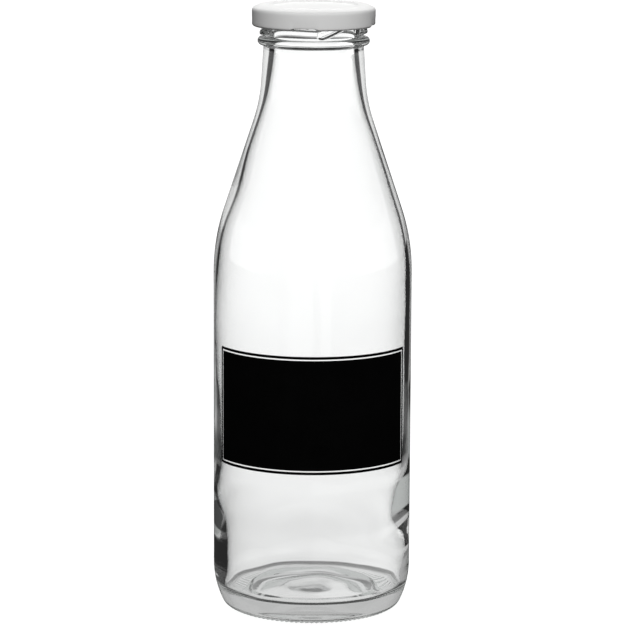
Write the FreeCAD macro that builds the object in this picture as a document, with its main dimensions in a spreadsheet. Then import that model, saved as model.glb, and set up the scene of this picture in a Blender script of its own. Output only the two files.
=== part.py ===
import FreeCAD, Part
import math
import os
import Sketcher

# Glass milk bottle with a white lug lid and a printed chalkboard field.
# Millimetres, +Z up, origin at the middle of the bearing ring, print facing -Y.

doc = FreeCAD.newDocument("milk_bottle")
dims = doc.addObject("Spreadsheet::Sheet", "dims")


class Size:
    # A driving length: its number, and the sheet formula that binds it
    cells = 0

    def __init__(self, value, text):
        self.value = value
        self.text = text

    def __add__(self, other):
        return Size(self.value + number(other), "(%s + %s)" % (self.text, formula(other)))

    def __sub__(self, other):
        return Size(self.value - number(other), "(%s - %s)" % (self.text, formula(other)))

    def __mul__(self, factor):
        return Size(self.value * factor, "(%s * %s)" % (self.text, factor))


def number(size):
    return size.value if isinstance(size, Size) else size


def formula(size):
    return size.text if isinstance(size, Size) else str(size)


def size(name, value):
    Size.cells += 1
    cell = "A%d" % Size.cells
    dims.set(cell, str(value))
    dims.setAlias(cell, name)
    return Size(value, "dims." + name)


# Glass body, whose wall settles thicker towards the base
body_radius = size("body_radius", 42.0)
wall = size("wall", 2.3)
settle_high = size("settle_high", 98.0)
settle_bend = size("settle_bend", 200.0)
middle_height = size("middle_height", 58.0)
middle_wall = size("middle_wall", 3.2)
low_height = size("low_height", 38.0)
low_wall = size("low_wall", 5.6)
low_bend = size("low_bend", 60.0)
shoulder_height = size("shoulder_height", 158.5)
shoulder_bend = size("shoulder_bend", 86.0)
neck_height = size("neck_height", 217.2)
neck_radius = size("neck_radius", 22.5)
neck_bend = size("neck_bend", 65.0)

# Heel and pushed-up base
heel_height = size("heel_height", 10.6)
heel_inset = size("heel_inset", 4.8)
heel_bend = size("heel_bend", 37.5)
toe_bend = size("toe_bend", 4.7)
bearing_inner = size("bearing_inner", 31.0)
bearing_bend = size("bearing_bend", 3.0)
push_up = size("push_up", 4.0)
push_up_radius = size("push_up_radius", 13.0)
push_up_bend = size("push_up_bend", 30.0)

# Floor of the cavity: a shallow ring round a slightly raised middle
floor_height = size("floor_height", 8.8)
floor_bend = size("floor_bend", 3.0)
floor_dip = size("floor_dip", 0.3)
dip_radius = size("dip_radius", 27.0)
dip_bend = size("dip_bend", 4.0)
dome_radius = size("dome_radius", 24.0)
dome_rise = size("dome_rise", 0.5)
dome_bend = size("dome_bend", 5.0)
floor_crown = size("floor_crown", 1.1)

# Finish: bead, upright wall, rim and bore
bead_low = size("bead_low", 241.1)
bead_tall = size("bead_tall", 3.2)
bead_radius = size("bead_radius", 23.5)
bead_bend = size("bead_bend", 1.5)
bead_fillet = size("bead_fillet", 0.8)
finish_radius = size("finish_radius", 21.0)
rim_height = size("rim_height", 256.5)
rim_bend = size("rim_bend", 0.9)
bore_radius = size("bore_radius", 18.6)
bore_low = size("bore_low", 238.0)
bore_bend = size("bore_bend", 30.0)

# Four threads, each a gentle bar with a steep run-out at its low end
thread_count = size("thread_count", 4)
thread_path = size("thread_path", 21.7)
thread_bend = size("thread_bend", 1.15)
thread_height = size("thread_height", 251.9)
bar_sweep = size("bar_sweep", 24.0)
bar_rise = size("bar_rise", 4.0)
tail_sweep = size("tail_sweep", 37.0)
tail_rise = size("tail_rise", 22.5)
thread_start = size("thread_start", -81.0)

# Lid
lid_radius = size("lid_radius", 25.9)
lid_top = size("lid_top", 258.0)
sheet_metal = size("sheet_metal", 0.25)
panel_radius = size("panel_radius", 17.6)
panel_depth = size("panel_depth", 0.9)
panel_slope = size("panel_slope", 1.0)
panel_bend = size("panel_bend", 0.5)
crown_radius = size("crown_radius", 22.6)
crown_drop = size("crown_drop", 1.6)
crown_bend = size("crown_bend", 5.0)
skirt_bend = size("skirt_bend", 1.8)
curl_bend = size("curl_bend", 1.1)
curl_height = size("curl_height", 249.95)
curl_turn = size("curl_turn", 110.0)
lug_reach = size("lug_reach", 22.2)
lug_low = size("lug_low", 249.55)
lug_tall = size("lug_tall", 0.55)
lug_bend = size("lug_bend", 0.25)
lug_sweep = size("lug_sweep", 19.0)
notch_tall = size("notch_tall", 0.7)
notch_sweep = size("notch_sweep", 22.5)
lug_turn = size("lug_turn", -99.0)

# Sealing ring under the crown
liner_inner = size("liner_inner", 18.95)
liner_outer = size("liner_outer", 22.5)
liner_land = size("liner_land", 21.3)
liner_relief = size("liner_relief", 0.4)
liner_bend = size("liner_bend", 0.2)

# Print on the front of the body
print_thick = size("print_thick", 0.1)
print_low = size("print_low", 65.7)
print_tall = size("print_tall", 50.1)
print_sweep = size("print_sweep", 130.0)
print_line = size("print_line", 1.15)
print_gap = size("print_gap", 0.55)
print_corner = size("print_corner", 1.0)

doc.recompute()


def origin_part(body, role):
    return [item for item in body.Origin.OriginFeatures if item.Role == role][0]


def new_body(name, label):
    body = doc.addObject("PartDesign::Body", name)
    body.Label = label
    return body


def new_sketch(body, name, role="XZ_Plane"):
    sketch = body.newObject("Sketcher::SketchObject", name)
    sketch.AttachmentSupport = [(origin_part(body, role), "")]
    sketch.MapMode = "FlatFace"
    return sketch


def dimension(sketch, constraint, size):
    index = sketch.addConstraint(constraint)
    sketch.setExpression("Constraints[%d]" % index, formula(size))
    return index


def place_point(sketch, geometry, end, across, up):
    # A zero puts the point on the sketch axis itself
    if number(across) == 0:
        sketch.addConstraint(Sketcher.Constraint("PointOnObject", geometry, end, -2))
    else:
        rule = Sketcher.Constraint("DistanceX", -1, 1, geometry, end, number(across))
        dimension(sketch, rule, across)
    if number(up) == 0:
        sketch.addConstraint(Sketcher.Constraint("PointOnObject", geometry, end, -1))
    else:
        rule = Sketcher.Constraint("DistanceY", -1, 1, geometry, end, number(up))
        dimension(sketch, rule, up)


def section(body, name, corners):
    # A closed half-section: each corner is (across, up, bend), with bend 0 for a sharp one
    sketch = new_sketch(body, name)
    count = len(corners)
    points = [FreeCAD.Vector(number(across), number(up), 0) for across, up, bend in corners]
    ways = [(points[(i + 1) % count] - points[i]).normalize() for i in range(count)]
    arrive = []
    leave = []
    for i in range(count):
        turn = ways[i - 1].getAngle(ways[i])
        cut_back = number(corners[i][2]) * math.tan(turn / 2)
        arrive.append(points[i] - ways[i - 1] * cut_back)
        leave.append(points[i] + ways[i] * cut_back)
    for i in range(count):
        sketch.addGeometry(Part.LineSegment(leave[i], arrive[(i + 1) % count]), False)
    for i in range(count):
        across, up, bend = corners[i]
        before = (i - 1) % count
        if number(bend) == 0:
            sketch.addConstraint(Sketcher.Constraint("Coincident", before, 2, i, 1))
            place_point(sketch, i, 1, across, up)
            continue
        left_turn = ways[before].cross(ways[i]).z > 0
        side = FreeCAD.Vector(-ways[before].y, ways[before].x, 0)
        centre = arrive[i] + side * (number(bend) if left_turn else -number(bend))
        first, last = (arrive[i], leave[i]) if left_turn else (leave[i], arrive[i])
        start_angle = math.atan2(first.y - centre.y, first.x - centre.x)
        end_angle = math.atan2(last.y - centre.y, last.x - centre.x)
        circle = Part.Circle(centre, FreeCAD.Vector(0, 0, 1), number(bend))
        arc = sketch.addGeometry(Part.ArcOfCircle(circle, start_angle, end_angle), False)
        corner = sketch.addGeometry(Part.Point(points[i]), True)
        near, far = (1, 2) if left_turn else (2, 1)
        sketch.addConstraint(Sketcher.Constraint("Tangent", before, 2, arc, near))
        sketch.addConstraint(Sketcher.Constraint("Tangent", arc, far, i, 1))
        sketch.addConstraint(Sketcher.Constraint("PointOnObject", corner, 1, before))
        sketch.addConstraint(Sketcher.Constraint("PointOnObject", corner, 1, i))
        dimension(sketch, Sketcher.Constraint("Radius", arc, number(bend)), bend)
        place_point(sketch, corner, 1, across, up)
    doc.recompute()
    return sketch


def turned(body, kind, name, sketch, sweep=None):
    # A full turn about the axis, or a part turn centred on the sketch plane
    feature = body.newObject("PartDesign::" + kind, name)
    feature.Profile = sketch
    feature.ReferenceAxis = (sketch, ["V_Axis"])
    if sweep is None:
        feature.Angle = 360
    else:
        feature.Midplane = True
        feature.setExpression("Angle", formula(sweep))
    doc.recompute()
    return feature


def polar(body, name, originals, times):
    pattern = body.newObject("PartDesign::PolarPattern", name)
    pattern.Originals = originals
    pattern.Axis = (origin_part(body, "Z_Axis"), [""])
    pattern.Angle = 360
    pattern.setExpression("Occurrences", formula(times))
    body.Tip = pattern
    doc.recompute()
    return pattern


def turn_about_z(degrees):
    return FreeCAD.Rotation(FreeCAD.Vector(0, 0, 1), degrees)


# Bottle: one turned section for the outside, the rim and the cavity
bottle = new_body("Bottle", "bottle")
slope = math.atan2(body_radius.value - neck_radius.value, neck_height.value - shoulder_height.value)
wall_shift = wall * round(math.tan(slope / 2), 4)
inner_radius = body_radius - wall
glass_section = section(bottle, "GlassSection", [
    (0, push_up, 0),
    (push_up_radius, push_up, push_up_bend),
    (bearing_inner, 0, bearing_bend),
    (body_radius - heel_inset, 0, toe_bend),
    (body_radius, heel_height, heel_bend),
    (body_radius, shoulder_height, shoulder_bend),
    (neck_radius, neck_height, neck_bend),
    (finish_radius, bead_low, bead_fillet),
    (bead_radius, bead_low, bead_bend),
    (bead_radius, bead_low + bead_tall, bead_bend),
    (finish_radius, bead_low + bead_tall, bead_fillet),
    (finish_radius, rim_height, rim_bend),
    (bore_radius, rim_height, rim_bend),
    (bore_radius, bore_low, bore_bend),
    (neck_radius - wall, neck_height - wall_shift, neck_bend + wall),
    (inner_radius, shoulder_height - wall_shift, shoulder_bend - wall),
    (inner_radius, settle_high, settle_bend),
    (body_radius - middle_wall, middle_height, low_bend),
    (body_radius - low_wall, low_height, low_bend),
    (body_radius - low_wall, floor_height, floor_bend),
    (dip_radius, floor_height - floor_dip, dip_bend),
    (dome_radius, floor_height + dome_rise, dome_bend),
    (0, floor_height + floor_crown, 0),
])
turned(bottle, "Revolution", "GlassTurn", glass_section)


# Threads: a round turned part of the way about an axis that leans, so that the ring climbs
def thread_piece(name, sweep, rise, middle, height):
    sketch = new_sketch(bottle, name + "Section")
    lean = turn_about_z(middle) * FreeCAD.Rotation(FreeCAD.Vector(1, 0, 0), rise.value)
    stand = FreeCAD.Placement(FreeCAD.Vector(0, 0, height), lean)
    upright = FreeCAD.Placement(FreeCAD.Vector(), FreeCAD.Rotation(FreeCAD.Vector(1, 0, 0), 90))
    sketch.AttachmentOffset = upright.inverse() * stand * upright
    centre = FreeCAD.Vector(thread_path.value, 0, 0)
    sketch.addGeometry(Part.Circle(centre, FreeCAD.Vector(0, 0, 1), thread_bend.value), False)
    dimension(sketch, Sketcher.Constraint("Radius", 0, thread_bend.value), thread_bend)
    place_point(sketch, 0, 3, thread_path, 0)
    return turned(bottle, "Revolution", name, sketch, sweep)


def thread_point(sweep, rise, middle, height, share):
    # Centre of the thread's round at a share of its sweep, -0.5 at the low end
    turn = turn_about_z(middle) * FreeCAD.Rotation(FreeCAD.Vector(1, 0, 0), rise.value)
    reach = turn_about_z(sweep.value * share).multVec(FreeCAD.Vector(thread_path.value, 0, 0))
    return turn.multVec(reach) + FreeCAD.Vector(0, 0, height)


def thread_end(name, centre, share):
    ball = bottle.newObject("PartDesign::AdditiveSphere", name)
    ball.AttachmentSupport = [(origin_part(bottle, "XY_Plane"), "")]
    ball.MapMode = "FlatFace"
    ball.setExpression("Radius", formula(thread_bend * share))
    ball.AttachmentOffset = FreeCAD.Placement(centre, FreeCAD.Rotation())
    doc.recompute()
    return ball


# The bar's low end and the run-out's high end are one point
tail_reach = thread_point(tail_sweep, tail_rise, 0, 0, 0.5)
tail_half = math.degrees(math.atan2(tail_reach.y, tail_reach.x))
tail_middle = thread_start.value + tail_half
bar_low = thread_point(bar_sweep, bar_rise, 0, 0, -0.5)
bar_half = -math.degrees(math.atan2(bar_low.y, bar_low.x))
bar_middle = thread_start.value + 2 * tail_half + bar_half
tail_height = thread_height.value + bar_low.z - tail_reach.z
bar = thread_piece("ThreadBar", bar_sweep, bar_rise, bar_middle, thread_height.value)
tail = thread_piece("ThreadTail", tail_sweep, tail_rise, tail_middle, tail_height)
polar(bottle, "Threads", [bar, tail], thread_count)
knee_at = thread_point(bar_sweep, bar_rise, bar_middle, thread_height.value, -0.5)
high_at = thread_point(bar_sweep, bar_rise, bar_middle, thread_height.value, 0.5)
low_at = thread_point(tail_sweep, tail_rise, tail_middle, tail_height, -0.5)
knee = thread_end("ThreadKnee", knee_at, 0.98)
polar(bottle, "ThreadKnees", [knee], thread_count)
high_end = thread_end("ThreadHighEnd", high_at, 0.94)
polar(bottle, "ThreadHighEnds", [high_end], thread_count)
low_end = thread_end("ThreadLowEnd", low_at, 0.94)
polar(bottle, "ThreadLowEnds", [low_end], thread_count)

# Lid: a turned blank hollowed to sheet, then the rolled edge and the lugs
cap_shell = new_body("CapShell", "cap_shell")
panel_height = lid_top - panel_depth
blank_section = section(cap_shell, "LidSection", [
    (0, curl_height, 0),
    (lid_radius, curl_height, 0),
    (lid_radius, lid_top - crown_drop, skirt_bend),
    (crown_radius, lid_top, crown_bend),
    (panel_radius + panel_slope, lid_top, panel_bend),
    (panel_radius, panel_height, panel_bend),
    (0, panel_height, 0),
])
blank = turned(cap_shell, "Revolution", "LidBlank", blank_section)
open_faces = []
for index, face in enumerate(blank.Shape.Faces):
    flat_low = isinstance(face.Surface, Part.Plane) and face.CenterOfMass.z < curl_height.value + 0.01
    if flat_low:
        open_faces.append("Face%d" % (index + 1))
hollow = cap_shell.newObject("PartDesign::Thickness", "LidSheet")
hollow.Base = (blank, open_faces)
hollow.setExpression("Value", formula(sheet_metal))
hollow.Mode = 0
hollow.Join = 0
hollow.Reversed = True
doc.recompute()

# Rolled edge: the sheet turned inwards round its own bend, open at its last quarter
curl_section = new_sketch(cap_shell, "CurlSection")
curl_centre = lid_radius - curl_bend
middle = FreeCAD.Vector(curl_centre.value, curl_height.value, 0)
normal = FreeCAD.Vector(0, 0, 1)
open_at = math.radians(curl_turn.value)
curl_radii = [curl_bend, curl_bend - sheet_metal]
for radius in curl_radii:
    ring = Part.Circle(middle, normal, radius.value)
    curl_section.addGeometry(Part.ArcOfCircle(ring, open_at, 2 * math.pi), False)
away = FreeCAD.Vector(math.cos(open_at), math.sin(open_at), 0)
along = FreeCAD.Vector(1, 0, 0)
for way in (along, away):
    inside = middle + way * curl_radii[1].value
    outside = middle + way * curl_radii[0].value
    curl_section.addGeometry(Part.LineSegment(inside, outside), False)
curl_section.addConstraint(Sketcher.Constraint("Coincident", 0, 3, 1, 3))
curl_section.addConstraint(Sketcher.Constraint("Coincident", 2, 1, 1, 2))
curl_section.addConstraint(Sketcher.Constraint("Coincident", 2, 2, 0, 2))
curl_section.addConstraint(Sketcher.Constraint("Coincident", 3, 1, 1, 1))
curl_section.addConstraint(Sketcher.Constraint("Coincident", 3, 2, 0, 1))
curl_section.addConstraint(Sketcher.Constraint("Horizontal", 2))
curl_section.addConstraint(Sketcher.Constraint("PointOnObject", 0, 3, 2))
curl_section.addConstraint(Sketcher.Constraint("PointOnObject", 0, 3, 3))
dimension(curl_section, Sketcher.Constraint("Angle", 3, open_at), curl_turn)
for index, radius in enumerate(curl_radii):
    dimension(curl_section, Sketcher.Constraint("Radius", index, radius.value), radius)
place_point(curl_section, 0, 3, curl_centre, curl_height)
turned(cap_shell, "Revolution", "Curl", curl_section)

# Lugs: the rolled edge is pressed in over a short arc, which leaves a notch in its outline
notch_section = section(cap_shell, "NotchSection", [
    (curl_centre - curl_bend * 0.6, curl_height - curl_bend * 1.4, 0),
    (lid_radius + 1.0, curl_height - curl_bend * 1.4, 0),
    (lid_radius + 1.0, curl_height - curl_bend + notch_tall, 0),
    (curl_centre - curl_bend * 0.6, curl_height - curl_bend + notch_tall, 0),
])
before_notch = cap_shell.Shape.Volume
notch = turned(cap_shell, "Groove", "Notch", notch_section, notch_sweep)
lug_section = section(cap_shell, "LugSection", [
    (lug_reach, lug_low, lug_bend),
    (lid_radius - sheet_metal * 1.5, lug_low, 0),
    (lid_radius - sheet_metal * 1.5, lug_low + lug_tall, 0),
    (lug_reach, lug_low + lug_tall, lug_bend),
])
lug = turned(cap_shell, "Revolution", "Lug", lug_section, lug_sweep)
polar(cap_shell, "Lugs", [notch, lug], thread_count)
cap_shell.Placement = FreeCAD.Placement(FreeCAD.Vector(), turn_about_z(lug_turn.value))

# Sealing ring: flat against the underside of the crown, resting on the rim
cap_liner = new_body("CapLiner", "cap_liner")
liner_top = lid_top - sheet_metal
liner_section = section(cap_liner, "LinerSection", [
    (liner_inner, rim_height, liner_bend),
    (liner_land, rim_height, 0),
    (liner_outer, rim_height + liner_relief, liner_bend),
    (liner_outer, liner_top - liner_relief, liner_bend),
    (liner_land, liner_top, 0),
    (liner_inner, liner_top, liner_bend),
])
turned(cap_liner, "Revolution", "LinerTurn", liner_section)


# Print: thin skins on the straight body, centred on the front
def print_strip(body, name, inset, overcut=0):
    return section(body, name, [
        (body_radius - overcut, print_low + inset, 0),
        (body_radius + print_thick + overcut, print_low + inset, 0),
        (body_radius + print_thick + overcut, print_low + print_tall - inset, 0),
        (body_radius - overcut, print_low + print_tall - inset, 0),
    ])


def degrees_over(arc):
    # Sweep of an arc length on the body, at both ends of a strip
    return arc * round(2 * 180 / math.pi / body_radius.value, 6)


def round_corners(body, base, name, corner):
    # The four short edges that run through the skin
    edges = []
    for index, edge in enumerate(base.Shape.Edges):
        ends = [math.hypot(vertex.X, vertex.Y) for vertex in edge.Vertexes]
        through = len(ends) == 2 and abs(abs(ends[0] - ends[1]) - print_thick.value) < 0.01
        if through:
            edges.append("Edge%d" % (index + 1))
    fillet = body.newObject("PartDesign::Fillet", name)
    fillet.Base = (base, edges)
    fillet.setExpression("Radius", formula(corner))
    doc.recompute()
    return fillet


front = FreeCAD.Placement(FreeCAD.Vector(), turn_about_z(-90))
label_border = new_body("LabelBorder", "label_border")
border_section = print_strip(label_border, "BorderSection", 0)
strip = turned(label_border, "Revolution", "BorderStrip", border_section, print_sweep)
round_corners(label_border, strip, "BorderCorners", print_corner)
before_window = label_border.Shape.Volume
window_section = print_strip(label_border, "WindowSection", print_line, overcut=0.5)
turned(label_border, "Groove", "Window", window_section, print_sweep - degrees_over(print_line))
label_border.Placement = front

label_panel = new_body("LabelPanel", "label_panel")
panel_inset = print_line + print_gap
panel_section = print_strip(label_panel, "PanelSection", panel_inset)
turned(label_panel, "Revolution", "Field", panel_section, print_sweep - degrees_over(panel_inset))
label_panel.Placement = front
doc.recompute()

# Nothing is written unless every feature stands and every cut took something away
broken = []
for item in doc.Objects:
    states = [state for state in item.State if state in ("Invalid", "Error")]
    if states:
        broken.append("%s %s" % (item.Name, states))
pieces = [bottle, cap_shell, cap_liner, label_panel, label_border]
for piece in pieces:
    shape = piece.Shape
    if shape.isNull() or not shape.isValid() or len(shape.Solids) != 1:
        broken.append("%s has no single valid solid" % piece.Label)
if notch.Shape.Volume >= before_notch:
    broken.append("the notch cuts nothing")
if label_border.Shape.Volume >= before_window * 0.5:
    broken.append("the window cuts nothing")
if broken:
    raise RuntimeError("; ".join(broken))

os.makedirs("parts", exist_ok=True)
for piece in pieces:
    piece.Shape.exportStep("parts/%s.step" % piece.Label)
    box = piece.Shape.BoundBox
    print("%-13s volume %9.1f  x %.2f..%.2f  z %.2f..%.2f" % (
        piece.Label, piece.Shape.Volume, box.XMin, box.XMax, box.ZMin, box.ZMax))
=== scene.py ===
import math
import bpy
from mathutils import Matrix, Vector
from mathutils.kdtree import KDTree


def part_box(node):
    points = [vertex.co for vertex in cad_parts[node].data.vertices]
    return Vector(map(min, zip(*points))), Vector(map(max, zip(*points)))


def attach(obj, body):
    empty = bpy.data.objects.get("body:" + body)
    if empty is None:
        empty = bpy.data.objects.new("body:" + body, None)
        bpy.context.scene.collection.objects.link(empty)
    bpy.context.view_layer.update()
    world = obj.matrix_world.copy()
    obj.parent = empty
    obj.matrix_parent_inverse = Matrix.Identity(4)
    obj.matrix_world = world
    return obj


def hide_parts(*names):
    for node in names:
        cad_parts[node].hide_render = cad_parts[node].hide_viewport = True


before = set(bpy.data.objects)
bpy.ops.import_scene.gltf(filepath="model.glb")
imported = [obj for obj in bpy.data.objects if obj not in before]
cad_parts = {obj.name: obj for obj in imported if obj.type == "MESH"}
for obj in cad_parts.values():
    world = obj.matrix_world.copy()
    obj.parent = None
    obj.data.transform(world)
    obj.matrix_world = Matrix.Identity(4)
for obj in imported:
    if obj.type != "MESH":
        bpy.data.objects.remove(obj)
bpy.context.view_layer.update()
mm = 0.001
print("frame loaded:", sorted(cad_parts))

scene = bpy.context.scene
scene.view_settings.view_transform = "Standard"


# Small tools for drawing a half-section and turning it round the bottle's axis

drawing = {
    "shortest": 1e-6,        # a shorter run isn't drawn
    "leastArcSteps": 4,
    "mergeWithin": 0.004,    # vertices nearer than this become one
}


def newPlane(name, size, rotation=(0, 0, 0)):
    bpy.ops.object.select_all(action="DESELECT")
    bpy.ops.mesh.primitive_plane_add(size=size, rotation=rotation)
    piece = bpy.context.object
    piece.name = name
    piece.data.name = name
    return piece


def startAt(name, across, up):
    # one vertex, merged out of a small plane
    piece = newPlane(name, mm)
    bpy.ops.object.mode_set(mode="EDIT")
    bpy.ops.mesh.select_all(action="SELECT")
    bpy.ops.mesh.merge(type="CENTER")
    bpy.ops.transform.translate(value=(across * mm, 0, up * mm))
    return piece


def extrudeRun(start, end, step):
    run = end - start
    if run.length < drawing["shortest"]:
        return
    count = max(1, math.ceil(run.length / step))
    move = (run.x / count * mm, 0, run.y / count * mm)
    for i in range(count):
        bpy.ops.mesh.extrude_region_move(TRANSFORM_OT_translate={"value": move})


def spinArc(centre, turn, steps):
    # the last vertex goes round the centre; a positive turn is to the left
    bpy.ops.mesh.spin(steps=steps, angle=turn, center=(centre.x * mm, 0, centre.y * mm), axis=(0, 1, 0))


def drawSection(corners, stepAt, arcStep):
    # corners are (across, up, bend) in mm, with bend 0 for a sharp one
    points = [Vector(corner[:2]) for corner in corners]
    here = points[0]
    for i in range(1, len(points)):
        way = (points[i] - points[i - 1]).normalized()
        step = stepAt((points[i] + points[i - 1]) / 2)
        bend = corners[i][2]
        if i == len(points) - 1 or bend == 0:
            extrudeRun(here, points[i], step)
            here = points[i]
            continue
        nextWay = (points[i + 1] - points[i]).normalized()
        turn = math.atan2(way.x * nextWay.y - way.y * nextWay.x, way.dot(nextWay))
        cutBack = bend * math.tan(abs(turn) / 2)
        side = Vector((-way.y, way.x)) * math.copysign(bend, turn)
        arrive = points[i] - way * cutBack
        extrudeRun(here, arrive, step)
        arcSteps = math.ceil(abs(turn) * bend / arcStep(bend))
        spinArc(arrive + side, turn, max(drawing["leastArcSteps"], arcSteps))
        here = points[i] + nextWay * cutBack


def turnRound(piece, steps):
    bpy.ops.mesh.select_all(action="SELECT")
    bpy.ops.mesh.spin(steps=steps, angle=2 * math.pi, center=(0, 0, 0), axis=(0, 0, 1))
    bpy.ops.mesh.select_all(action="SELECT")
    bpy.ops.mesh.remove_doubles(threshold=drawing["mergeWithin"] * mm)
    bpy.ops.mesh.normals_make_consistent(inside=False)
    bpy.ops.object.mode_set(mode="OBJECT")


def applyModifier(piece, kind, **settings):
    bpy.context.view_layer.objects.active = piece
    modifier = piece.modifiers.new(kind.lower(), kind)
    for key, value in settings.items():
        setattr(modifier, key, value)
    bpy.ops.object.modifier_apply(modifier=modifier.name)


def weightGroup(piece, name, weightOf):
    # weightOf(vertex) is 0 to 1
    group = piece.vertex_groups.new(name=name)
    for vertex in piece.data.vertices:
        weight = weightOf(vertex)
        if weight > 0:
            group.add([vertex.index], min(weight, 1), "REPLACE")
    return name


def ruffle(piece, name, cloud, weightOf):
    # cloudy waves along the normals
    texture = bpy.data.textures.new(name, "CLOUDS")
    texture.noise_scale = cloud["size"] * mm
    texture.noise_depth = cloud["detail"]
    applyModifier(piece, "DISPLACE", vertex_group=weightGroup(piece, name, weightOf), texture=texture,
                  texture_coords="LOCAL", strength=cloud["depth"] * mm, mid_level=cloud["middle"])


def fade(value, start, end):
    # smooth change from 0 at the start to 1 at the end, which may be the lower of the two
    share = max(0, min(1, (value - start) / (end - start)))
    return share * share * (3 - 2 * share)


def bearing(point):
    return math.degrees(math.atan2(point.y, point.x))


def turnBetween(a, b):
    return (a - b + 180) % 360 - 180


def standFor(piece, node, body, material):
    piece.data.materials.clear()
    piece.data.materials.append(material)
    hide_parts(node)
    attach(piece, body)
    print("piece", piece.name, len(piece.data.polygons), "faces")


# Material helpers

maskMiddle = (0.3, 0.7)      # the part of the mottle's range that is used


def newMaterial(name):
    material = bpy.data.materials.new(name)
    material.use_nodes = True
    tree = material.node_tree
    tree.nodes.clear()
    return material, tree


def addNode(tree, kind, **inputs):
    # in_ and a number or name is a socket, the rest are settings of the node
    node = tree.nodes.new(kind)
    for key, value in inputs.items():
        if not key.startswith("in_"):
            setattr(node, key, value)
    for key, value in inputs.items():
        if key.startswith("in_"):
            place = key[3:]
            socket = node.inputs[int(place)] if place.isdigit() else node.inputs[place.replace("_", " ")]
            if isinstance(value, bpy.types.NodeSocket):
                tree.links.new(value, socket)
            else:
                socket.default_value = value
    return node


def math2(tree, operation, a, b=0.0):
    return addNode(tree, "ShaderNodeMath", operation=operation, in_0=a, in_1=b).outputs[0]


def mixShader(tree, share, first, second):
    return addNode(tree, "ShaderNodeMixShader", in_0=share, in_1=first.outputs[0], in_2=second.outputs[0])


def fineMottleGroup():
    # soft cloudy mask with fine grain in it, about 0.5 in the middle
    group = bpy.data.node_groups.new("fineMottle", "ShaderNodeTree")
    face = group.interface
    face.new_socket("Vector", in_out="INPUT", socket_type="NodeSocketVector")
    for name in ("Cloud Scale", "Grain Scale", "Grain Share"):
        face.new_socket(name, in_out="INPUT", socket_type="NodeSocketFloat")
    face.new_socket("Mask", in_out="OUTPUT", socket_type="NodeSocketFloat")
    start = group.nodes.new("NodeGroupInput")
    end = group.nodes.new("NodeGroupOutput")
    cloud = addNode(group, "ShaderNodeTexNoise", in_Vector=start.outputs["Vector"],
                    in_Scale=start.outputs["Cloud Scale"], in_Detail=4.0)
    grain = addNode(group, "ShaderNodeTexNoise", in_Vector=start.outputs["Vector"],
                    in_Scale=start.outputs["Grain Scale"], in_Detail=2.0)
    grainPart = math2(group, "MULTIPLY", grain.outputs["Fac"], start.outputs["Grain Share"])
    cloudShare = math2(group, "SUBTRACT", 1.0, start.outputs["Grain Share"])
    cloudPart = math2(group, "MULTIPLY", cloud.outputs["Fac"], cloudShare)
    group.links.new(math2(group, "ADD", cloudPart, grainPart), end.inputs["Mask"])
    return group


fineMottle = fineMottleGroup()


def mottleIn(tree, cloudScale, grainScale, grainShare):
    place = tree.nodes.new("ShaderNodeTexCoord")
    node = tree.nodes.new("ShaderNodeGroup")
    node.node_tree = fineMottle
    tree.links.new(place.outputs["Object"], node.inputs["Vector"])
    node.inputs["Cloud Scale"].default_value = cloudScale
    node.inputs["Grain Scale"].default_value = grainScale
    node.inputs["Grain Share"].default_value = grainShare
    return node.outputs["Mask"]


def spread(tree, mask, low, high):
    # the mask's middle part stretched between two values
    start, end = maskMiddle
    node = addNode(tree, "ShaderNodeMapRange", in_Value=mask, in_1=start, in_2=end, in_3=low, in_4=high)
    return node.outputs["Result"]


def shade(tree, mask, dark, light):
    node = addNode(tree, "ShaderNodeMix", data_type="RGBA", in_0=spread(tree, mask, 0.0, 1.0),
                   in_6=(*dark, 1), in_7=(*light, 1))
    return node.outputs[2]


def bumpFrom(tree, height, strength, depth):
    bump = addNode(tree, "ShaderNodeBump", in_Height=height, in_Strength=strength, in_Distance=depth * mm)
    return bump.outputs["Normal"]


def coated(name, look):
    # a coat with slight mottle in its colour, its gloss and its height
    material, tree = newMaterial(name)
    mask = mottleIn(tree, *look["mottle"])
    coat = addNode(tree, "ShaderNodeBsdfPrincipled", in_Base_Color=shade(tree, mask, *look["colours"]),
                   in_Roughness=spread(tree, mask, *look["roughness"]), in_Specular_IOR_Level=look["shine"],
                   in_Normal=bumpFrom(tree, mask, *look["bump"]))
    addNode(tree, "ShaderNodeOutputMaterial", in_Surface=coat.outputs[0])
    return material


# Glass bottle

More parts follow.
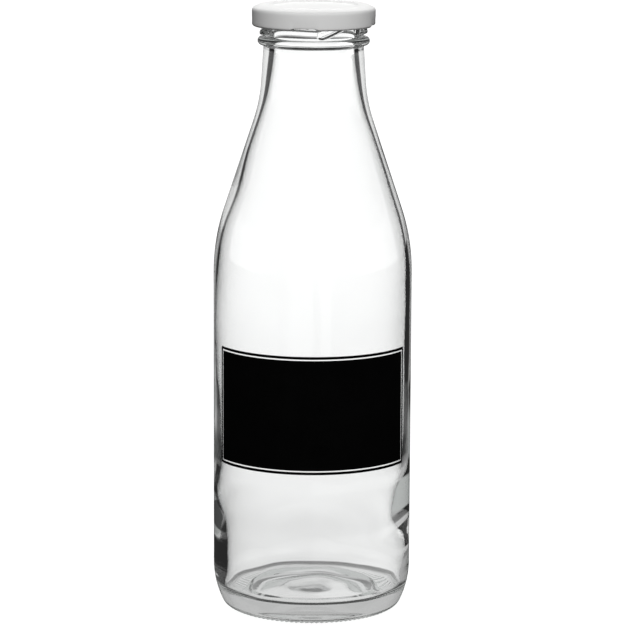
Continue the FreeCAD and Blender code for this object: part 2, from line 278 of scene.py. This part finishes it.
bottleShape = {
    "outside": [   # across, up, bend
        (0, 4, 0), (13, 4, 30), (31, 0, 3), (37.2, 0, 4.7), (42, 10.6, 37.5),
        (42, 158.5, 86), (22.5, 217.2, 65), (21, 241.1, 0.8), (23.5, 241.1, 1.5),
        (23.5, 244.3, 1.5), (21, 244.3, 0.8), (21, 256.5, 0.9), (19.8, 256.5, 0),
    ],
    "inside": [
        (19.8, 256.5, 0), (18.6, 256.5, 0.9), (18.6, 238, 30), (20.2, 216.83, 67.3),
        (39.7, 158.13, 83.7), (39.7, 98, 200), (38.8, 58, 60), (36.4, 38, 60), (36.4, 8.8, 3),
        (27, 8.4, 1.2), (25.2, 9.5, 1.2), (0, 9.9, 0),
    ],
    "steps": 312,          # round the axis, in threes for the marks under the base
    "finishLow": 244.0, "finishFrom": 20.0,   # above and outside these the wall is cut fine for the threads
    "finishStep": 0.32, "outsideStep": 6.0, "insideStep": 2.2,
    # steps along the bends, finer on those smaller than the limit
    "smallArc": 0.3, "outsideArc": 2.2, "outsideLimit": 3.0, "insideArc": 1.6, "insideLimit": 1.0,
    "look": {
        "mottle": (35.0, 260.0, 0.25),        # scale of the clouds, of the grain, and the grain's share
        "colours": ((0.985, 0.99, 0.988), (0.995, 0.998, 0.997)), "roughness": (0.0, 0.002),
        "bending": 1.52,                      # index of refraction
        "shadow": (0.94, 0.95, 0.945, 1), "depthColour": (0.84, 0.88, 0.86, 1), "depthDensity": 2.0,
        "weary": 3.5,                         # reflections after which light gets out of the wall
    },
}
threadShape = {
    "count": 4, "path": 21.7, "bend": 1.15, "height": 251.9, "start": -81.0,
    "barSweep": 24.0, "barRise": 4.0, "tailSweep": 37.0, "tailRise": 22.5,
    "wall": 21.0, "wallSlack": 0.1, "low": 245.0, "top": 255.5,    # where the ridges may be
    "foot": 1.45,          # half width where the ridge meets the wall
    "fullness": 3,         # power of its rounded section
    "sample": 0.5,         # degrees between the points of its line
}
wallShape = {
    # the inner wall: above this height, facing the axis by this much, or part of the floor
    "lowest": 6.9, "facing": -0.15, "floorFacing": 0.3, "floorReach": 37.0, "floorTop": 20.0,
    "onAxis": 0.01,                           # least distance from the axis to divide by
    # slow waves, and where they start and end
    "waves": {"size": 38.0, "detail": 1, "depth": 0.5, "middle": 0.25},
    "waveLow": (5.0, 13.0), "waveTop": (246.0, 226.0),
    # shorter ones on the floor inside and, weaker, on the wall above it
    "ripples": {"size": 13.0, "detail": 0, "depth": 0.8, "middle": 0.5},
    "floorUp": (16.0, 10.0), "floorOut": (4.0, 18.0),
    "lowShare": 0.22, "lowUp": (72.0, 56.0), "lowOut": (30.0, 34.0),
    # thick and thin places: bearing, height, half angle, half height, depth
    "thick": [
        (180, 240, 100, 30, 1.2), (0, 240, 80, 28, 0.8), (180, 181, 50, 20, 0.4), (180, 118, 60, 36, -1.0),
        (180, 46, 55, 18, -1.7), (0, 24, 60, 20, -1.6),
    ],
    "even": (242.0, 254.0),                   # true again inside the mouth
    "leastReach": 10.0,                       # nearer the axis than this they fade out
}
baseMarks = {"depth": 0.32, "inner": 31.0, "outer": 37.0, "low": 1.2, "columns": 3}


def threadLine(sweep, rise, middle, height):
    # middle of the round along a ring that leans, as the thread climbs
    turn = Matrix.Rotation(math.radians(middle), 3, "Z") @ Matrix.Rotation(math.radians(rise), 3, "X")
    count = round(sweep / threadShape["sample"])
    line = []
    for i in range(count + 1):
        share = math.radians(sweep * (i / count - 0.5))
        reach = Vector((math.cos(share), math.sin(share), 0)) * threadShape["path"]
        line.append(turn @ reach + Vector((0, 0, height)))
    return line


def threadTree():
    # points of all the threads: each is a steep tail, then a gentle bar
    shape = threadShape
    tail = threadLine(shape["tailSweep"], shape["tailRise"], 0, 0)
    bar = threadLine(shape["barSweep"], shape["barRise"], 0, 0)
    tailHalf, barHalf = bearing(tail[-1]), -bearing(bar[0])
    tailMiddle = shape["start"] + tailHalf
    barMiddle = shape["start"] + 2 * tailHalf + barHalf
    tailHeight = shape["height"] + bar[0].z - tail[-1].z
    line = threadLine(shape["tailSweep"], shape["tailRise"], tailMiddle, tailHeight)
    line += threadLine(shape["barSweep"], shape["barRise"], barMiddle, shape["height"])
    tree = KDTree(len(line) * shape["count"])
    for k in range(shape["count"]):
        turn = Matrix.Rotation(2 * math.pi * k / shape["count"], 3, "Z")
        for i, point in enumerate(line):
            tree.insert(turn @ point, k * len(line) + i)
    tree.balance()
    return tree


def raiseThreads(piece):
    shape = threadShape
    tree = threadTree()
    sink = shape["path"] - shape["wall"]

    def ridge(vertex):
        spot = vertex.co / mm
        onWall = math.hypot(spot.x, spot.y) >= shape["wall"] - shape["wallSlack"]
        if not (onWall and shape["low"] <= spot.z <= shape["top"]):
            return 0
        away = tree.find(spot)[2]
        along = math.sqrt(max(0, away * away - sink * sink)) / shape["foot"]
        return 1 - along ** shape["fullness"] if along < 1 else 0

    ridges = weightGroup(piece, "threads", ridge)
    applyModifier(piece, "DISPLACE", vertex_group=ridges, strength=(sink + shape["bend"]) * mm, mid_level=0)


def isInside(vertex):
    shape = wallShape
    spot = vertex.co / mm
    flat = max(math.hypot(spot.x, spot.y), shape["onAxis"])
    outward = (vertex.normal.x * spot.x + vertex.normal.y * spot.y) / flat
    isLow = flat < shape["floorReach"] and spot.z < shape["floorTop"]
    onFloor = isLow and vertex.normal.z > shape["floorFacing"]
    return spot.z > shape["lowest"] and (outward < shape["facing"] or onFloor)


def unevenWall(piece):
    # the inner wall is uneven, as blown glass is
    shape = wallShape
    insides = {vertex.index for vertex in piece.data.vertices if isInside(vertex)}

    def wavy(vertex):
        if vertex.index not in insides:
            return 0
        height = vertex.co.z / mm
        return fade(height, *shape["waveLow"]) * fade(height, *shape["waveTop"])

    def rippled(vertex):
        if vertex.index not in insides:
            return 0
        flat = math.hypot(vertex.co.x, vertex.co.y) / mm
        height = vertex.co.z / mm
        onFloor = fade(height, *shape["floorUp"]) * fade(flat, *shape["floorOut"])
        onWall = shape["lowShare"] * fade(height, *shape["lowUp"]) * fade(flat, *shape["lowOut"])
        return max(onFloor, onWall)

    ruffle(piece, "innerWall", shape["waves"], wavy)
    ruffle(piece, "innerFloor", shape["ripples"], rippled)
    for index in insides:
        vertex = piece.data.vertices[index]
        height = vertex.co.z / mm
        flat = math.hypot(vertex.co.x, vertex.co.y) / mm
        depth = 0
        for side, middle, halfTurn, halfTall, most in shape["thick"]:
            aside = abs(turnBetween(bearing(vertex.co), side))
            depth += most * fade(aside, halfTurn, 0) * fade(abs(height - middle), halfTall, 0)
        depth *= 1 - fade(height, *shape["even"])
        share = 1 - depth / max(flat, shape["leastReach"])
        vertex.co.x *= share
        vertex.co.y *= share
    piece.data.update()


def pressMarks(piece):
    # short marks round the ring it stands on
    columns = baseMarks["columns"]

    def mark(vertex):
        spot = vertex.co / mm
        flat = math.hypot(spot.x, spot.y)
        if spot.z > baseMarks["low"] or not baseMarks["inner"] < flat < baseMarks["outer"]:
            return 0
        column = round((bearing(spot) % 360) / 360 * bottleShape["steps"])
        return (column % columns) / (columns - 1)

    marks = weightGroup(piece, "standMarks", mark)
    applyModifier(piece, "DISPLACE", vertex_group=marks, strength=-baseMarks["depth"] * mm, mid_level=0)


def makeBottle():
    shape = bottleShape

    def outsideStep(point):
        isFinish = point.y > shape["finishLow"] and point.x > shape["finishFrom"]
        return shape["finishStep"] if isFinish else shape["outsideStep"]

    def outsideArc(bend):
        return shape["smallArc"] if bend < shape["outsideLimit"] else shape["outsideArc"]

    def insideArc(bend):
        return shape["smallArc"] if bend < shape["insideLimit"] else shape["insideArc"]

    piece = startAt("milkBottle", *shape["outside"][0][:2])
    drawSection(shape["outside"], outsideStep, outsideArc)
    drawSection(shape["inside"], lambda point: shape["insideStep"], insideArc)
    turnRound(piece, shape["steps"])
    raiseThreads(piece)
    unevenWall(piece)
    pressMarks(piece)
    bpy.ops.object.shade_smooth()
    piece.vertex_groups.clear()
    return piece


def clearGlass(look):
    material, tree = newMaterial("clearGlass")
    mask = mottleIn(tree, *look["mottle"])
    glass = addNode(tree, "ShaderNodeBsdfPrincipled", in_Base_Color=shade(tree, mask, *look["colours"]),
                    in_Roughness=spread(tree, mask, *look["roughness"]), in_IOR=look["bending"])
    glass.inputs["Transmission Weight"].default_value = 1.0
    clear = addNode(tree, "ShaderNodeBsdfTransparent", in_Color=look["shadow"])
    path = addNode(tree, "ShaderNodeLightPath")
    # light that has run round inside the wall a few times gets out
    weary = math2(tree, "GREATER_THAN", path.outputs["Glossy Depth"], look["weary"])
    passes = math2(tree, "MAXIMUM", path.outputs["Is Shadow Ray"], weary)
    mixed = mixShader(tree, passes, glass, clear)
    absorb = addNode(tree, "ShaderNodeVolumeAbsorption", in_Color=look["depthColour"],
                     in_Density=look["depthDensity"])
    addNode(tree, "ShaderNodeOutputMaterial", in_Surface=mixed.outputs[0], in_Volume=absorb.outputs[0])
    return material


bottle = makeBottle()
standFor(bottle, "bottle", "bottle", clearGlass(bottleShape["look"]))


# Lug lid of lacquered sheet

lidShape = {
    "outline": [
        (0, 257.1, 0), (17.6, 257.1, 0.5), (18.6, 258, 0.5), (22.6, 258, 5), (25.9, 256.4, 1.8),
        (25.9, 249.95, 0),
    ],
    "step": 1.2, "arc": 0.35, "smallArc": 0.18, "arcLimit": 1.0, "steps": 360,
    "sheet": 0.25, "curl": 1.1, "curlTurn": 250.0, "curlSteps": 24,
    "lugs": 4, "lugTurn": -99.0, "lugSweep": 19.0, "lugFade": 4.0,
    "lugReach": 22.2, "lugLift": 0.75,
    "skirtFrom": 20.0, "skirtSlack": 0.02,
    "dent": 0.18, "dentUp": (253.5, 250.5),   # of the skirt above each lug, and where it starts and is full
    "look": {
        "mottle": (45.0, 700.0, 0.35), "colours": ((0.88, 0.88, 0.875), (0.91, 0.91, 0.905)),
        "roughness": (0.30, 0.42), "shine": 0.5, "bump": (0.08, 0.1),
    },
}


def pressLugs(piece, rim, middle):
    # the rolled edge is pressed up and inwards at each lug, and the skirt above it is dented
    shape = lidShape
    stretch = (rim.x - shape["lugReach"]) / (2 * shape["curl"]) - 1
    apart = 360 / shape["lugs"]
    half = shape["lugSweep"] / 2
    for vertex in piece.data.vertices:
        spot = vertex.co / mm
        flat = math.hypot(spot.x, spot.y)
        if flat < shape["skirtFrom"] or spot.z > shape["dentUp"][0]:
            continue
        aside = abs((bearing(spot) - shape["lugTurn"] + apart / 2) % apart - apart / 2)
        press = fade(aside, half + shape["lugFade"], half)
        if press == 0:
            continue
        up, reach = spot.z, flat
        insideSkirt = spot.z <= middle.y + shape["curl"] and flat < rim.x - shape["skirtSlack"]
        if insideSkirt or spot.z <= middle.y:
            up = middle.y + (spot.z - middle.y) * (1 - press * shape["lugLift"] / shape["curl"])
            reach = rim.x - (rim.x - flat) * (1 + stretch * press)
        reach -= shape["dent"] * press * fade(spot.z, *shape["dentUp"])
        vertex.co = Vector((spot.x * reach / flat, spot.y * reach / flat, up)) * mm
    piece.data.update()


def makeLid():
    shape = lidShape
    rim = Vector(shape["outline"][-1][:2])
    middle = rim - Vector((shape["curl"], 0))
    piece = startAt("lugLid", *shape["outline"][0][:2])
    drawSection(shape["outline"], lambda point: shape["step"],
                lambda bend: shape["smallArc"] if bend < shape["arcLimit"] else shape["arc"])
    spinArc(middle, -math.radians(shape["curlTurn"]), shape["curlSteps"])
    turnRound(piece, shape["steps"])
    pressLugs(piece, rim, middle)
    applyModifier(piece, "SOLIDIFY", thickness=shape["sheet"] * mm, offset=-1, use_even_offset=True)
    bpy.ops.object.shade_smooth()
    return piece


lid = makeLid()
standFor(lid, "cap_shell", "lid", coated("whiteLacquer", lidShape["look"]))


# Sealing ring under the crown of the lid

sealShape = {
    "section": [
        (20, 256.5, 0), (21.3, 256.5, 0), (22.5, 256.9, 0.2), (22.5, 257.35, 0.2), (21.3, 257.75, 0),
        (18.95, 257.75, 0.2), (18.95, 256.5, 0.2), (20, 256.5, 0),
    ],
    "step": 0.3, "arc": 0.08, "steps": 192, "smoothAngle": 40.0,
    "look": {
        "mottle": (80.0, 1500.0, 0.5), "colours": ((0.70, 0.69, 0.65), (0.77, 0.76, 0.72)),
        "roughness": (0.5, 0.65), "shine": 0.5, "bump": (0.15, 0.1),
    },
}


def makeSeal():
    shape = sealShape
    piece = startAt("lidSeal", *shape["section"][0][:2])
    drawSection(shape["section"], lambda point: shape["step"], lambda bend: shape["arc"])
    turnRound(piece, shape["steps"])
    bpy.ops.object.shade_smooth_by_angle(angle=math.radians(shape["smoothAngle"]))
    return piece


seal = makeSeal()
standFor(seal, "cap_liner", "seal", coated("sealCompound", sealShape["look"]))


# Black print: a field inside a thin border, on the front of the body

printShape = {
    "radius": 42.0, "standOff": 0.02, "low": 65.7, "tall": 50.1, "sweep": 130.0,
    "line": 1.15, "gap": 0.55, "corner": 1.0, "fieldCorner": 0.25, "cornerSteps": 6,
    "columns": 96, "smoothAngle": 30.0,
    "look": {
        "mottle": (70.0, 1800.0, 0.5), "colours": ((0.001, 0.001, 0.001), (0.003, 0.003, 0.003)),
        "roughness": (0.62, 0.8), "shine": 0.03, "bump": (0.2, 0.05),
    },
}
printTop = -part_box("label_panel")[0].y / mm     # outer face of the ink


def flatField(name, inset, corner):
    # plate in the XZ plane, as long as the arc it will lie on
    shape = printShape
    wide = math.radians(shape["sweep"]) * shape["radius"] - 2 * inset
    tall = shape["tall"] - 2 * inset
    middle = shape["low"] + shape["tall"] / 2
    piece = newPlane(name, mm, rotation=(math.pi / 2, 0, 0))
    bpy.ops.object.transform_apply(location=True, rotation=True, scale=True)
    bpy.ops.object.mode_set(mode="EDIT")
    bpy.ops.mesh.select_all(action="SELECT")
    bpy.ops.transform.resize(value=(wide, 1, tall))
    bpy.ops.transform.translate(value=(0, 0, middle * mm))
    bpy.ops.mesh.bevel(offset=corner * mm, segments=shape["cornerSteps"], affect="VERTICES")
    return piece, wide


def rollOn(piece, wide):
    # cut into columns, given its thickness, then laid round the glass
    shape = printShape
    for i in range(1, shape["columns"]):
        bpy.ops.mesh.select_all(action="SELECT")
        across = (i / shape["columns"] - 0.5) * wide
        bpy.ops.mesh.bisect(plane_co=(across * mm, 0, 0), plane_no=(1, 0, 0))
    inner = shape["radius"] + shape["standOff"]
    bpy.ops.mesh.select_all(action="SELECT")
    bpy.ops.mesh.extrude_region_move(TRANSFORM_OT_translate={"value": (0, (inner - printTop) * mm, 0)})
    bpy.ops.mesh.select_all(action="SELECT")
    bpy.ops.mesh.normals_make_consistent(inside=False)
    bpy.ops.object.mode_set(mode="OBJECT")
    for vertex in piece.data.vertices:
        turn = vertex.co.x / mm / shape["radius"]
        reach = inner * mm - vertex.co.y
        vertex.co = Vector((reach * math.sin(turn), -reach * math.cos(turn), vertex.co.z))
    piece.data.update()
    bpy.ops.object.shade_smooth_by_angle(angle=math.radians(shape["smoothAngle"]))


def makeField():
    inset = printShape["line"] + printShape["gap"]
    piece, wide = flatField("printField", inset, printShape["fieldCorner"])
    rollOn(piece, wide)
    return piece


def makeBorder():
    piece, wide = flatField("printBorder", 0, printShape["corner"])
    bpy.ops.mesh.select_all(action="SELECT")
    bpy.ops.mesh.inset(thickness=printShape["line"] * mm, depth=0)
    bpy.ops.mesh.delete(type="FACE")
    rollOn(piece, wide)
    return piece


ink = coated("blackPrint", printShape["look"])
standFor(makeField(), "label_panel", "bottle", ink)
standFor(makeBorder(), "label_border", "bottle", ink)


# Studio: pale floor, soft lamps, white all round for what is looked at directly or through glass, and on the
# floor a painted shadow and painted reflections that show in the glass

studio = {
    "diffuse": 0.18,                          # what the world gives to matt surfaces
    # seen through the glass: near the horizon, higher up, and where the one turns into the other
    "seenThrough": 1.2, "seenHigh": 0.55, "high": (0.03, 0.12),
    # in the mirror of the wall: light boxes round the table, what is above them, and the sky
    "boxes": 4, "boxBright": 1.0, "boxDark": 0.02, "boxEdge": (-0.65, -0.25),
    "boxTop": (0.17, 0.23), "aboveBoxes": 0.5, "sky": (0.5, 0.8), "skyLevel": 0.9,
    # in the mirror of the outer face, of the far wall, and after several reflections; where the floor uses
    # them they are painted reflection
    "outerNear": 0.03, "outerFar": 0.2, "farSky": 0.75, "farFloor": 0.1, "trappedSky": 0.6,
    "lamps": [   # name, place, aim, size, power
        ("overhead", (0, 0.92, 1.03), (0, 0, 0.2), 0.6, 19.0),
        ("front", (0.1, -1.15, 1.06), (0, 0, 0.2), 0.5, 13.0),
    ],
}
floorLook = {
    "size": 8.0, "colour": 0.9, "dim": 0.08, "glow": 1.15,
    "shadow": 0.5, "shadowAway": (0.06, 0.16),     # share of a real shadow, and where it fades
    # levels going outwards: the first, then (from, to, level); through the glass, a painted shadow under the
    # bottle, darkest in a ring at its heel, rising to the floor's full glow further out
    "through": (0.78, [
        (0.018, 0.030, 0.66), (0.037, 0.040, 0.2), (0.044, 0.050, 0.85), (0.08, 0.16, 1.03), (0.2, 0.9, 1.2),
    ]),
    # painted reflection: dark and light rings on the floor that show only in the mirror of the glass, near
    # by, on each side, and after several reflections inside the wall
    "mirrorNear": (0.06, [(0.058, 0.074, 0.45)]),
    "mirrorLeft": [(0.066, 0.080, 0.02)],
    "mirrorRight": [(0.085, 0.105, 0.25), (0.125, 0.145, 0.65), (0.222, 0.24, 0.02)],
    "trappedLeft": (0.08, [
        (0.040, 0.045, 0.6), (0.078, 0.095, 0.02), (0.22, 0.26, 0.5), (0.36, 0.42, 0.02),
    ]),
    "trappedRight": (0.08, [
        (0.040, 0.045, 0.45), (0.090, 0.110, 0.02), (0.22, 0.26, 0.5), (0.36, 0.42, 0.02),
    ]),
    # painted reflection straight behind the edges: where a light band starts and ends, by how far aside, and
    # its level
    "edgeLeft": ((-0.1, 0.0), (0.40, 0.56), 0.75), "edgeRight": ((0.12, 0.20), (0.34, 0.44), 0.8),
    "edgeAway": (0.25, 0.33),
    # painted light seen through the glass, brighter to the sides: side, lift near by and far off
    "paintedLifts": [(-1.0, 0.0, 0.3), (1.0, 0.15, 1.0)], "liftAside": (0.2, 0.55), "liftAway": (0.25, 0.5),
    "middle": (-0.01, 0.01),                  # where left turns into right
    "back": (2.0, 2.5),                       # where the floor gives way to the light boxes
}
depthLimits = (0.5, 1.5, 2.5)                 # between counts of bounces: none, one, two, more


def mixValue(tree, share, a, b):
    return addNode(tree, "ShaderNodeMix", in_0=share, in_2=a, in_3=b).outputs[0]


def rise(tree, value, start, end):
    node = addNode(tree, "ShaderNodeMapRange", interpolation_type="SMOOTHSTEP", in_Value=value,
                   in_1=start, in_2=end, in_3=0.0, in_4=1.0)
    return node.outputs[0]


def outwards(tree, away, levels):
    level, rings = levels
    for start, end, value in rings:
        level = mixValue(tree, rise(tree, away, start, end), level, value)
    return level


def boxesGroup():
    # tall light boxes with dark gaps between them, evenly round the table
    group = bpy.data.node_groups.new("lightBoxes", "ShaderNodeTree")
    group.interface.new_socket("Vector", in_out="INPUT", socket_type="NodeSocketVector")
    group.interface.new_socket("Level", in_out="OUTPUT", socket_type="NodeSocketFloat")
    start = group.nodes.new("NodeGroupInput")
    end = group.nodes.new("NodeGroupOutput")
    parts = addNode(group, "ShaderNodeSeparateXYZ", in_Vector=start.outputs["Vector"])
    turn = math2(group, "ARCTAN2", parts.outputs["X"], parts.outputs["Y"])
    wave = math2(group, "COSINE", math2(group, "MULTIPLY", turn, float(studio["boxes"])))
    level = mixValue(group, rise(group, wave, *studio["boxEdge"]), studio["boxDark"], studio["boxBright"])
    group.links.new(level, end.inputs["Level"])
    return group


lightBoxes = boxesGroup()


def boxLevel(tree, vector):
    node = tree.nodes.new("ShaderNodeGroup")
    node.node_tree = lightBoxes
    tree.links.new(vector, node.inputs["Vector"])
    return node.outputs["Level"]


def rayKinds(tree):
    # looked at directly or through glass, and seen by way of a reflection
    afterNone, afterOne, afterTwo = depthLimits
    path = addNode(tree, "ShaderNodeLightPath")
    crossing = path.outputs["Is Transmission Ray"]
    reflections = path.outputs["Glossy Depth"]
    crossed = path.outputs["Transmission Depth"]
    plain = math2(tree, "LESS_THAN", path.outputs["Diffuse Depth"], afterNone)
    seen = math2(tree, "MULTIPLY", math2(tree, "MAXIMUM", path.outputs["Is Camera Ray"], crossing), plain)
    shiny = math2(tree, "MAXIMUM", path.outputs["Is Glossy Ray"], crossing)
    bounced = math2(tree, "GREATER_THAN", reflections, afterNone)
    mirrored = math2(tree, "MULTIPLY", math2(tree, "MULTIPLY", shiny, bounced), plain)
    outer = math2(tree, "LESS_THAN", crossed, afterNone)
    deep = math2(tree, "GREATER_THAN", crossed, afterTwo)
    often = math2(tree, "GREATER_THAN", reflections, afterOne)
    return path, seen, mirrored, (outer, deep, often)


def mirrorLevel(tree, kinds, inWall, onFace, farWall, trapped):
    # the wall of the glass, its outer face, the far wall, and light that runs on inside the wall
    outer, deep, often = kinds
    level = mixValue(tree, deep, mixValue(tree, outer, inWall, onFace), farWall)
    return mixValue(tree, often, level, trapped)


def makeWorld():
    world = bpy.data.worlds.new("studioWorld")
    world.use_nodes = True
    tree = world.node_tree
    tree.nodes.clear()
    way = tree.nodes.new("ShaderNodeTexCoord").outputs["Generated"]
    up = addNode(tree, "ShaderNodeSeparateXYZ", in_Vector=way).outputs["Z"]
    path, seen, mirrored, kinds = rayKinds(tree)
    through = mixValue(tree, rise(tree, up, *studio["high"]), studio["seenThrough"], studio["seenHigh"])
    white = mixValue(tree, path.outputs["Is Transmission Ray"], 1.0, through)
    level = mixValue(tree, seen, studio["diffuse"], white)
    inWall = mixValue(tree, rise(tree, up, *studio["boxTop"]), boxLevel(tree, way), studio["aboveBoxes"])
    inWall = mixValue(tree, rise(tree, up, *studio["sky"]), inWall, studio["skyLevel"])
    mirror = mirrorLevel(tree, kinds, inWall, studio["outerFar"], studio["farSky"], studio["trappedSky"])
    level = mixValue(tree, mirrored, level, mirror)
    back = addNode(tree, "ShaderNodeBackground", in_Color=(1, 1, 1, 1), in_Strength=level)
    addNode(tree, "ShaderNodeOutputWorld", in_Surface=back.outputs[0])
    scene.world = world


def paintedFloorThrough(tree, path, away, across):
    # what shows through the glass: a painted shadow round the foot, and painted light to the sides for what
    # its edges look at
    level = outwards(tree, away, floorLook["through"])
    for side, near, far in floorLook["paintedLifts"]:
        slant = math2(tree, "DIVIDE", math2(tree, "MULTIPLY", across, side), away)
        most = mixValue(tree, rise(tree, away, *floorLook["liftAway"]), near, far)
        lift = math2(tree, "MULTIPLY", rise(tree, slant, *floorLook["liftAside"]), most)
        level = math2(tree, "MULTIPLY", level, math2(tree, "ADD", 1.0, lift))
    return mixValue(tree, path.outputs["Is Transmission Ray"], floorLook["glow"], level)


def paintedFloorMirrored(tree, kinds, place, away, across):
    # painted reflection, what the glass mirrors of the floor: rings on each side, and a light band straight
    # behind each edge
    rightward = rise(tree, across, *floorLook["middle"])
    leftward = math2(tree, "SUBTRACT", 1.0, rightward)
    near = outwards(tree, away, floorLook["mirrorNear"])
    left = outwards(tree, away, (near, floorLook["mirrorLeft"]))
    right = outwards(tree, away, (near, floorLook["mirrorRight"]))
    inWall = mixValue(tree, rightward, left, right)
    aside = math2(tree, "DIVIDE", math2(tree, "ABSOLUTE", across), away)
    beyond = rise(tree, away, *floorLook["edgeAway"])
    for share, edge in ((leftward, "edgeLeft"), (rightward, "edgeRight")):
        start, end, level = floorLook[edge]
        band = math2(tree, "SUBTRACT", rise(tree, aside, *start), rise(tree, aside, *end))
        band = math2(tree, "MULTIPLY", band, math2(tree, "MULTIPLY", beyond, share))
        inWall = mixValue(tree, band, inWall, level)
    back = rise(tree, away, *floorLook["back"])
    inWall = mixValue(tree, back, inWall, boxLevel(tree, place))
    onFace = mixValue(tree, back, studio["outerNear"], studio["outerFar"])
    trapped = mixValue(tree, rightward, outwards(tree, away, floorLook["trappedLeft"]),
                       outwards(tree, away, floorLook["trappedRight"]))
    return mirrorLevel(tree, kinds, inWall, onFace, studio["farFloor"], trapped)


def mattGrey(tree, level):
    return addNode(tree, "ShaderNodeBsdfDiffuse", in_Color=(level, level, level, 1))


def paleFloor():
    material, tree = newMaterial("paleFloor")
    place = tree.nodes.new("ShaderNodeTexCoord").outputs["Object"]
    away = addNode(tree, "ShaderNodeVectorMath", operation="LENGTH", in_0=place).outputs["Value"]
    across = addNode(tree, "ShaderNodeSeparateXYZ", in_Vector=place).outputs["X"]
    path, seen, mirrored, kinds = rayKinds(tree)
    through = paintedFloorThrough(tree, path, away, across)
    level = mixValue(tree, mirrored, through, paintedFloorMirrored(tree, kinds, place, away, across))
    glow = addNode(tree, "ShaderNodeEmission", in_Color=(1, 1, 1, 1), in_Strength=level)
    # the camera sees a soft shadow near the bottle, and matt surfaces get little light from below
    shadow = mixValue(tree, rise(tree, away, *floorLook["shadowAway"]), floorLook["shadow"], 0.0)
    shadowed = mixShader(tree, shadow, glow, mattGrey(tree, floorLook["colour"]))
    looked = mixShader(tree, path.outputs["Is Camera Ray"], glow, shadowed)
    lit = math2(tree, "MAXIMUM", seen, mirrored)
    above = mixShader(tree, lit, mattGrey(tree, floorLook["dim"]), looked)
    # nothing to see of it from below
    under = addNode(tree, "ShaderNodeNewGeometry").outputs["Backfacing"]
    oneSided = mixShader(tree, under, above, addNode(tree, "ShaderNodeBsdfTransparent"))
    addNode(tree, "ShaderNodeOutputMaterial", in_Surface=oneSided.outputs[0])
    return material


def makeFloor():
    floor = newPlane("studioFloor", floorLook["size"])
    floor.data.materials.append(paleFloor())


def makeLamps():
    for name, place, aim, size, power in studio["lamps"]:
        bpy.ops.object.light_add(type="AREA", location=place)
        lamp = bpy.context.object
        lamp.name = name
        lamp.data.size = size
        lamp.data.energy = power
        lamp.rotation_euler = (Vector(aim) - Vector(place)).to_track_quat("-Z", "Y").to_euler()
        lamp.visible_camera = False
        lamp.visible_transmission = False
        lamp.visible_glossy = False


makeWorld()
makeFloor()
makeLamps()
print("studio ready")


# Camera at the height and tilt of the picture

cameraPlace = {"back": 1.400, "up": 0.3865, "tilt": 10.51, "roll": 0.25, "lens": 193.0, "sensor": 36.0}
bpy.ops.object.camera_add(location=(0, -cameraPlace["back"], cameraPlace["up"]))
camera = bpy.context.object
camera.name = "photoCamera"
camera.data.lens = cameraPlace["lens"]
camera.data.sensor_width = cameraPlace["sensor"]
camera.rotation_mode = "ZYX"
camera.rotation_euler = (math.radians(90 - cameraPlace["tilt"]), 0, math.radians(cameraPlace["roll"]))
scene.camera = camera

# enough bounces for light that runs along inside the wall
scene.cycles.max_bounces = 24
scene.cycles.glossy_bounces = 16
scene.cycles.transmission_bounces = 24
scene.cycles.transparent_max_bounces = 16

bpy.context.view_layer.update()
